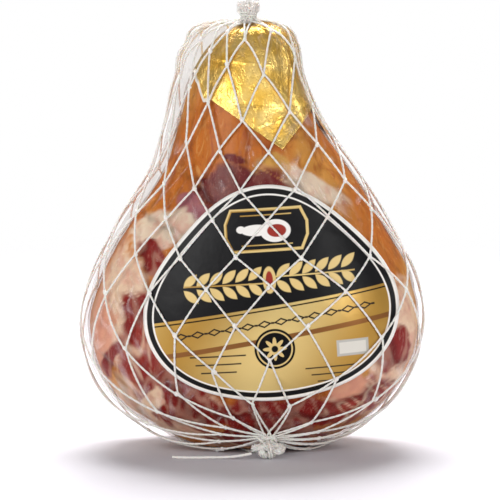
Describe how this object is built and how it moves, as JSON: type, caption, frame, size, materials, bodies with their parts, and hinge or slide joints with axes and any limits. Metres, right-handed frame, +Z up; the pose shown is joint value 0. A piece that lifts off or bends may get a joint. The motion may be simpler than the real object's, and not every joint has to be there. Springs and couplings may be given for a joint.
{
  "type": "cured ham",
  "caption": "Boned pear-shaped cured ham standing on its butt, in a clear vacuum bag with gold foil over the shank, a front label and a knotted string net tied at the top and the foot.",
  "frame": {"origin": "middle of the underside of the wrapped ham, where it stands on the floor, measured without the loose tail cord", "axes": "+Z up along the ham from the butt to the shank, +Y from the labelled front towards the back, +X to the right as seen from the front"},
  "size_m": [0.282, 0.174, 0.3597],
  "materials": {
    "meat": "moist cured ham: tan rind, dark red lean and cream fat",
    "foil": "creased gold foil, mirror bright",
    "film": "clear glossy film drawn tight, with fine creases",
    "label": "coated paper printed black and gold with a white edge",
    "string": "white twisted cotton string, dry and slightly fuzzy"
  },
  "bodies": {
    "root": {"ham": "meat", "gold_foil": "foil", "vacuum_bag": "film", "label": "label", "net": "string", "top_tie": "string", "foot_tie": "string", "tail_cord": "string"}
  },
  "joints": []
}
